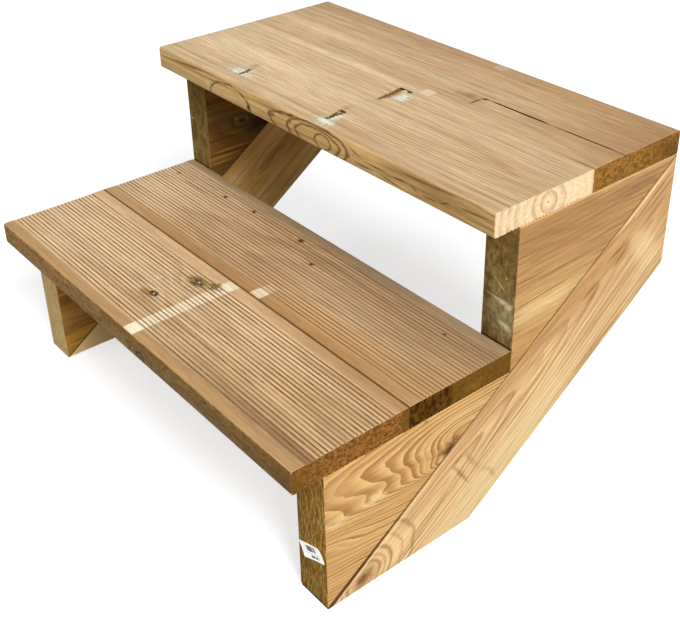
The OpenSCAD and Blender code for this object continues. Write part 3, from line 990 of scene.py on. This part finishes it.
        # Painted light: the paper glows a little by itself, so that it gives back more light than wood
        # does.
        surface = add(tree, "BsdfPrincipled", {
            "Base Color": shade, "Roughness": 0.4, "Emission Color": shade,
            "Emission Strength": 0.3,
        })
        add(tree, "OutputMaterial", {"Surface": surface})
        return material

    def dress(self, mesh, name, axes, origin):
        """Gives a timber the finish of its long faces, and then that of its sawn ends."""
        mesh.materials.append(self.along_grain(name, axes, origin))
        mesh.materials.append(self.sawn_end(name, axes, origin))


# --- Meshes -----------------------------------------------------------------

# Which finish a face takes.
LONG_FACE, SAWN_END, FRONT_EDGE = range(3)
# Sizes from here on are in mm, and angles in degrees.
REED_PITCH = 5.0
REED_MARGIN = 15.0
# Half of a reed and groove: distance from the groove's middle and share of its depth.
REED_SHAPE = ((0.0, 1.0), (0.35, 0.95), (0.7, 0.6), (1.0, 0.22), (1.5, 0.06), (2.5, 0.0))
# Steps round an eased edge, and places on the plain margin beside it.
ROUND_STEPS = (0, 22, 45, 68, 90)
PLAIN_MARGIN = (6.0, 10.0)
BOARD_SECTIONS = 75
# Where the drying crack starts along its board and where it runs across it, half of its
# width, how wide each of its sides slants, and the length over which it opens.
CRACK_START, CRACK_W = 400, 47.5
CRACK_HALF, CRACK_SLANT, CRACK_RUN_IN = 0.85, 0.5, 20
TAG_WIDTH, TAG_HEIGHT, TAG_TILT = 36.0, 19.0, 24.0
# How far its back and its face stand off the wood where it is stuck down.
TAG_BACK, TAG_FACE = 0.05, 0.35
TAG_COLUMNS, TAG_ROWS = 18, 10
# Edges that turn further than this stay sharp.
SHARP_ANGLE = 32


def link_piece(name, mesh, node):
    """Puts a piece into the scene in place of its plain solid."""
    piece = bpy.data.objects.new(name, mesh)
    bpy.context.scene.collection.objects.link(piece)
    mesh.set_sharp_from_angle(angle=math.radians(SHARP_ANGLE))
    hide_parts(node)
    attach(piece, "root")


def finished_mesh(name, bm):
    """The mesh that was built, as a smooth one."""
    mesh = bpy.data.meshes.new(name)
    for face in bm.faces:
        face.smooth = True
    bm.to_mesh(mesh)
    bm.free()
    return mesh


def board_columns(width, edges):
    """Places across a deck board, each with its share of a groove's depth."""
    near, far = ([edge * (1 - math.cos(math.radians(a))) for a in ROUND_STEPS] for edge in edges)
    columns = [(w, 0.0) for w in (*near, *PLAIN_MARGIN)]
    grooves = int((width - 2 * REED_MARGIN) / REED_PITCH)
    start = (width - (grooves - 1) * REED_PITCH) / 2
    for i in range(grooves):
        middle = start + i * REED_PITCH
        left = [(middle - d, s) for d, s in reversed(REED_SHAPE)]
        right = [(middle + d, s) for d, s in REED_SHAPE[1:]]
        columns += (left if i == 0 else left[1:]) + right
    return columns + [(width - w, 0.0) for w in reversed((*far, *PLAIN_MARGIN))]


def edge_height(w, width, edges):
    """How far the rounded long edges fall below the face at w."""
    near, edge = min((w, edges[0]), (width - w, edges[1]))
    if near >= edge:
        return 0.0
    return edge - math.sqrt(max(edge * edge - (edge - near) ** 2, 0.0))


def crack_dip(x, w, depth):
    """Depth of the drying crack at x and w."""
    if x < CRACK_START:
        return 0.0
    open_part = min(max((CRACK_HALF - abs(w - CRACK_W)) / CRACK_SLANT, 0.0), 1.0)
    return depth * open_part * min((x - CRACK_START) / CRACK_RUN_IN, 1.0)


def board_faces(bm, sections):
    """Joins the sections of a deck board into a closed body with its three finishes."""
    last = len(sections[0][0]) - 1
    for (upper_a, under_a), (upper_b, under_b) in zip(sections, sections[1:]):
        for i in range(last):
            bm.faces.new((upper_a[i], upper_b[i], upper_b[i + 1], upper_a[i + 1]))
            bm.faces.new((under_a[i], under_a[i + 1], under_b[i + 1], under_b[i]))
        edge_face = bm.faces.new((under_a[0], under_b[0], upper_b[0], upper_a[0]))
        edge_face.material_index = FRONT_EDGE
        bm.faces.new((under_a[last], upper_a[last], upper_b[last], under_b[last]))
    for (upper, under), flip in ((sections[0], False), (sections[-1], True)):
        for i in range(last):
            corners = (upper[i], upper[i + 1], under[i + 1], under[i])
            face = bm.faces.new(corners[::-1] if flip else corners)
            face.material_index = SAWN_END
    bmesh.ops.recalc_face_normals(bm, faces=bm.faces)
    for face in bm.faces:
        # The front edge takes in the lower half of its rounding.
        if face.material_index == LONG_FACE and face.normal.y < -0.75:
            face.material_index = FRONT_EDGE


def deck_board(name, sizes, top_depth, under_depth, crack_depth=0.0):
    """A reeded board as a tube of sections along X, in mm in its own corner's frame."""
    low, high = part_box(name)
    # At the joint the boards are sharper and nearly touch, so that it reads as a line.
    outer, inner = sizes.board_edge / MM, sizes.joint_edge / MM
    if "front" in name:
        edges = (outer, inner)
        high = high + Vector((0, sizes.joint_close, 0))
    else:
        edges = (inner, outer)
        low = low - Vector((0, sizes.joint_close, 0))
    span = (high - low) / MM
    ease = sizes.end_edge / MM
    columns = board_columns(span.y, edges)
    stations = [span.x * i / BOARD_SECTIONS for i in range(1, BOARD_SECTIONS)]
    bm = bmesh.new()
    sections = []
    for x in (0.0, ease, *stations, span.x - ease, span.x):
        inset = ease if x in (0.0, span.x) else 0.0
        upper, under = [], []
        for w, share in columns:
            at = min(max(w, inset), span.y - inset)
            # The reeds have worn unevenly, over 60 mm along the board and 9 mm across.
            worn = 0.9 + 0.2 * noise.noise(Vector((x / 60, w / 9, span.x)))
            drop = edge_height(w, span.y, edges)
            dip = share * top_depth * worn + crack_dip(x, w, crack_depth)
            upper.append(bm.verts.new(low + MM * Vector((x, at, span.z - drop - inset - dip))))
            rise = share * under_depth + drop + inset
            under.append(bm.verts.new(low + MM * Vector((x, at, rise))))
        sections.append((upper, under))
    board_faces(bm, sections)
    return finished_mesh(name, bm)


def timber_prism(name, sizes, outline, is_end):
    """A side timber: its outline in Y and Z, drawn through X, with eased edges."""
    low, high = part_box(name)
    bm = bmesh.new()
    face = bm.faces.new([bm.verts.new((low.x, y, z)) for y, z in outline])
    made = bmesh.ops.extrude_face_region(bm, geom=[face])["geom"]
    moved = [v for v in made if isinstance(v, bmesh.types.BMVert)]
    bmesh.ops.translate(bm, vec=Vector((high.x - low.x, 0, 0)), verts=moved)
    bmesh.ops.recalc_face_normals(bm, faces=bm.faces)
    bmesh.ops.bevel(bm, geom=list(bm.edges), offset=sizes.timber_edge, segments=3,
                    profile=0.5, affect="EDGES", clamp_overlap=True)
    for face in bm.faces:
        face.material_index = SAWN_END if is_end(face.normal) else LONG_FACE
    return finished_mesh(name, bm)


def curled_tag(corner, bottom, side_edge, curl):
    """The tag, from its lower left corner along its bottom and up its side."""
    bm = bmesh.new()
    sheets = []
    for lift in (TAG_BACK * MM, TAG_FACE * MM):
        sheet = []
        for j in range(TAG_ROWS + 1):
            for i in range(TAG_COLUMNS + 1):
                u, v = i / TAG_COLUMNS, j / TAG_ROWS
                # The two free corners on the right and at the top stand off the wood.
                bend = 0.75 * max(u - 0.35, 0) ** 2 + 0.8 * v ** 3 * (0.4 + u)
                place = corner + bottom * u + side_edge * v
                sheet.append(bm.verts.new(place + Vector((0, -lift - curl * bend, 0))))
        sheets.append(sheet)
    step = TAG_COLUMNS + 1
    for sheet, flip in zip(sheets, (True, False)):
        for j in range(TAG_ROWS):
            for i in range(TAG_COLUMNS):
                k = j * step + i
                quad = (sheet[k], sheet[k + 1], sheet[k + step + 1], sheet[k + step])
                bm.faces.new(quad[::-1] if flip else quad)
    rim = list(range(TAG_COLUMNS))
    rim += [j * step + TAG_COLUMNS for j in range(TAG_ROWS)]
    rim += [TAG_ROWS * step + i for i in range(TAG_COLUMNS, 0, -1)]
    rim += [j * step for j in range(TAG_ROWS, 0, -1)]
    back, face = sheets
    for a, b in zip(rim, rim[1:] + rim[:1]):
        bm.faces.new((face[a], back[a], back[b], face[b]))
    bmesh.ops.recalc_face_normals(bm, faces=bm.faces)
    return finished_mesh("paper_tag", bm)


# --- Operators --------------------------------------------------------------


class STEPS_OT_treads(bpy.types.Operator):
    """Makes the four reeded deck boards of the two treads"""

    bl_idname = "steps.treads"
    bl_label = "Treads"

    def execute(self, context):
        sizes = context.scene.steps_sizes
        finish = Finish(context.scene.steps_colours)
        deep, fine, crack = (v / MM for v in (sizes.deep_reed, sizes.fine_reed, sizes.crack_depth))
        for name, depths in {
            "lower_tread_front_board": (deep, fine),
            "lower_tread_back_board": (deep * 0.9, fine),
            "upper_tread_front_board": (fine, deep),
            "upper_tread_back_board": (fine * 0.3, deep, crack),
        }.items():
            mesh = deck_board(name, sizes, *depths)
            low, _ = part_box(name)
            axes = ((1, 0, 0), (0, 1, 0), (0, 0, 1))
            finish.dress(mesh, name, axes, low)
            edge = name.replace("board", "edge")
            if edge in TIMBERS:
                mesh.materials.append(finish.along_grain(edge, axes, low))
            else:
                mesh.materials.append(mesh.materials[LONG_FACE])
            link_piece(name + "_wood", mesh, name)
        return {"FINISHED"}


class STEPS_OT_blocks(bpy.types.Operator):
    """Makes the four three-cornered blocks under the treads"""

    bl_idname = "steps.blocks"
    bl_label = "Blocks"

    def execute(self, context):
        sizes = context.scene.steps_sizes
        finish = Finish(context.scene.steps_colours)
        for name in ("left_lower_block", "right_lower_block", "left_upper_block",
                     "right_upper_block"):
            low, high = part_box(name)
            outline = [(low.y, low.z), (high.y, high.z), (low.y, high.z)]
            if name == "right_lower_block":
                # The joint under it opens from half way down to the ground.
                gap = sizes.seam_gap
                middle = ((low.y + high.y) / 2, (low.z + high.z) / 2 + 0.25 * gap)
                outline = [(low.y, low.z + gap), middle, *outline[1:]]
            mesh = timber_prism(name, sizes, outline, lambda n: n.y < -0.5)
            finish.dress(mesh, name, ((0, 1, 0), (0, 0, 1), (1, 0, 0)), low)
            link_piece(name + "_wood", mesh, name)
        return {"FINISHED"}


class STEPS_OT_sloping_boards(bpy.types.Operator):
    """Makes the board on the slope at each side"""

    bl_idname = "steps.sloping_boards"
    bl_label = "Sloping Boards"

    def execute(self, context):
        sizes = context.scene.steps_sizes
        finish = Finish(context.scene.steps_colours)
        for name in ("left_sloping_board", "right_sloping_board"):
            low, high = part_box(name)
            along = Vector((0, high.y - low.y, high.z - low.z)).normalized()
            across = Vector((0, -along.z, along.y))
            # The plumb cut's lower corner and the foot's back corner, from the solid.
            corners = [v.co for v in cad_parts[name].data.vertices]
            head = min(c.z for c in corners if abs(c.y - high.y) < 1e-5)
            foot = max(c.y for c in corners if abs(c.z - low.z) < 1e-5)
            outline = [(low.y, low.z), (foot, low.z), (high.y, head), (high.y, high.z)]
            mesh = timber_prism(name, sizes, outline, lambda n: n.y > 0.95 or n.z < -0.95)
            origin = low - across * (foot - low.y) * along.z
            finish.dress(mesh, name, (tuple(along), tuple(across), (1, 0, 0)), origin)
            link_piece(name + "_wood", mesh, name)
        return {"FINISHED"}


class STEPS_OT_tag(bpy.types.Operator):
    """Makes the paper tag on the right lower block"""

    bl_idname = "steps.tag"
    bl_label = "Tag"

    def execute(self, context):
        sizes = context.scene.steps_sizes
        finish = Finish(context.scene.steps_colours)
        low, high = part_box("paper_tag")
        centre = (low + high) / 2
        tilt = math.radians(TAG_TILT)
        along = Vector((math.cos(tilt), 0, math.sin(tilt)))
        up = Vector((-math.sin(tilt), 0, math.cos(tilt)))
        bottom, side_edge = along * (TAG_WIDTH * MM), up * (TAG_HEIGHT * MM)
        corner = Vector((centre.x, high.y, centre.z)) - bottom / 2 - side_edge / 2
        mesh = curled_tag(corner, bottom, side_edge, sizes.tag_curl)
        axes = (tuple(along), tuple(up), (0, -1, 0))
        mesh.materials.append(finish.printed_paper(axes, corner))
        link_piece("paper_tag_sheet", mesh, "paper_tag")
        return {"FINISHED"}


# --- Stage ------------------------------------------------------------------

WHITE = (*linear("ffffff"), 1)
# The floor's own tone, its glow, and the duller tone in which it lights the steps.
FLOOR_TONE, FLOOR_GLOW, FLOOR_DULL = "cbcbcb", 0.62, "a09a93"
FLOOR_HALF = 30.0
# Each lamp's place and size in m, and its power in W.
LAMPS = {
    "key_lamp": ((4.4, -1.3, 3.6), 2.4, 425),
    "fill_lamp": ((-1.2, -3.0, 2.0), 2.2, 28),
}
LAMP_TARGET = (0, -0.25, -0.2)
WORLD_LIGHT = 0.3
# Where the camera stands round its target: azimuth, elevation and roll in degrees.
CAMERA_TURN = (51.55, 29.97, -1.31)
CAMERA_TARGET = (0.0513, -0.2686, -0.1276)
CAMERA_DISTANCE = 1.2561
CAMERA_LENS = 57.85
CAMERA_SHIFT = -0.1007


def seen_directly(tree):
    """1 for the camera, a reflection or a clear body, and 0 where it only gives light."""
    ray = add(tree, "LightPath")
    seen = ray.outputs["Is Camera Ray"]
    for kind in ("Is Glossy Ray", "Is Transmission Ray"):
        seen = add(tree, "Math", [seen, ray.outputs[kind]], operation="MAXIMUM")
    return seen


class STEPS_OT_stage(bpy.types.Operator):
    """Makes the floor, the lamps, the world and the camera"""

    bl_idname = "steps.stage"
    bl_label = "Stage"

    def execute(self, context):
        scene = context.scene
        self.floor(scene, CAD_BOX[0][2])
        self.world(scene)
        for name, (place, size, power) in LAMPS.items():
            self.lamp(scene, name, Vector(place), size, power)
        self.camera(scene)
        scene.view_settings.view_transform = "Standard"
        return {"FINISHED"}

    def floor(self, scene, height):
        """A matt white floor. It looks white by a glow of its own, and keeps a shadow."""
        material = bpy.data.materials.new("matt_white_floor")
        tree = blank(material)
        seen = seen_directly(tree)
        matt = add(tree, "BsdfDiffuse", {"Color": (*linear(FLOOR_TONE), 1)})
        glow = add(tree, "Emission", {"Color": WHITE, "Strength": FLOOR_GLOW})
        lit = add(tree, "AddShader", [matt, glow])
        dull = add(tree, "BsdfDiffuse", {"Color": (*linear(FLOOR_DULL), 1)})
        shown = add(tree, "MixShader", [seen, dull, lit])
        add(tree, "OutputMaterial", {"Surface": shown})
        mesh = bpy.data.meshes.new("floor")
        corners = [(x * FLOOR_HALF, y * FLOOR_HALF, height)
                   for x, y in ((-1, -1), (1, -1), (1, 1), (-1, 1))]
        mesh.from_pydata(corners, [], [(0, 1, 2, 3)])
        mesh.materials.append(material)
        floor = bpy.data.objects.new("floor", mesh)
        scene.collection.objects.link(floor)

    def world(self, scene):
        world = bpy.data.worlds.new("studio")
        tree = blank(world)
        level = add(tree, "MapRange", {"Value": seen_directly(tree), "To Min": WORLD_LIGHT})
        sky = add(tree, "Background", {"Color": WHITE, "Strength": level})
        add(tree, "OutputWorld", {"Surface": sky})
        scene.world = world

    def lamp(self, scene, name, place, size, power):
        light = bpy.data.lights.new(name, "AREA")
        light.size = size
        light.energy = power
        lamp = bpy.data.objects.new(name, light)
        lamp.location = place
        lamp.rotation_euler = (Vector(LAMP_TARGET) - place).to_track_quat("-Z", "Y").to_euler()
        scene.collection.objects.link(lamp)

    def camera(self, scene):
        azimuth, elevation, roll = map(math.radians, CAMERA_TURN)
        back = Vector((math.sin(azimuth) * math.cos(elevation),
                       -math.cos(azimuth) * math.cos(elevation), math.sin(elevation)))
        right = Vector((0, 0, 1)).cross(back).normalized()
        up = back.cross(right)
        rolled_right = math.cos(roll) * right + math.sin(roll) * up
        rolled_up = -math.sin(roll) * right + math.cos(roll) * up
        data = bpy.data.cameras.new("camera")
        data.lens = CAMERA_LENS
        data.sensor_width = 36.0
        data.shift_y = CAMERA_SHIFT
        camera = bpy.data.objects.new("camera", data)
        turn = Matrix((rolled_right, rolled_up, back)).transposed().to_4x4()
        place = Vector(CAMERA_TARGET) + back * CAMERA_DISTANCE
        camera.matrix_world = Matrix.Translation(place) @ turn
        scene.collection.objects.link(camera)
        scene.camera = camera


class STEPS_PT_panel(bpy.types.Panel):
    """Lists what makes the steps"""

    bl_idname = "STEPS_PT_panel"
    bl_label = "Garden Steps"
    bl_space_type = "VIEW_3D"
    bl_region_type = "UI"
    bl_category = "Garden Steps"

    def draw(self, context):
        for operator in OPERATORS:
            self.layout.operator(operator.bl_idname)
        for settings in (context.scene.steps_sizes, context.scene.steps_colours):
            box = self.layout.box()
            for name in settings.bl_rna.properties.keys()[2:]:
                box.prop(settings, name)


OPERATORS = (STEPS_OT_stage, STEPS_OT_treads, STEPS_OT_blocks, STEPS_OT_sloping_boards,
             STEPS_OT_tag)
CLASSES = (STEPS_PG_colours, STEPS_PG_sizes, *OPERATORS, STEPS_PT_panel)


def register():
    for cls in CLASSES:
        bpy.utils.register_class(cls)
    bpy.types.Scene.steps_colours = PointerProperty(type=STEPS_PG_colours)
    bpy.types.Scene.steps_sizes = PointerProperty(type=STEPS_PG_sizes)


def unregister():
    del bpy.types.Scene.steps_sizes
    del bpy.types.Scene.steps_colours
    for cls in reversed(CLASSES):
        bpy.utils.unregister_class(cls)


def main():
    register()
    bpy.ops.steps.stage()
    bpy.ops.steps.treads()
    bpy.ops.steps.blocks()
    bpy.ops.steps.sloping_boards()
    bpy.ops.steps.tag()


if __name__ == "__main__":
    main()
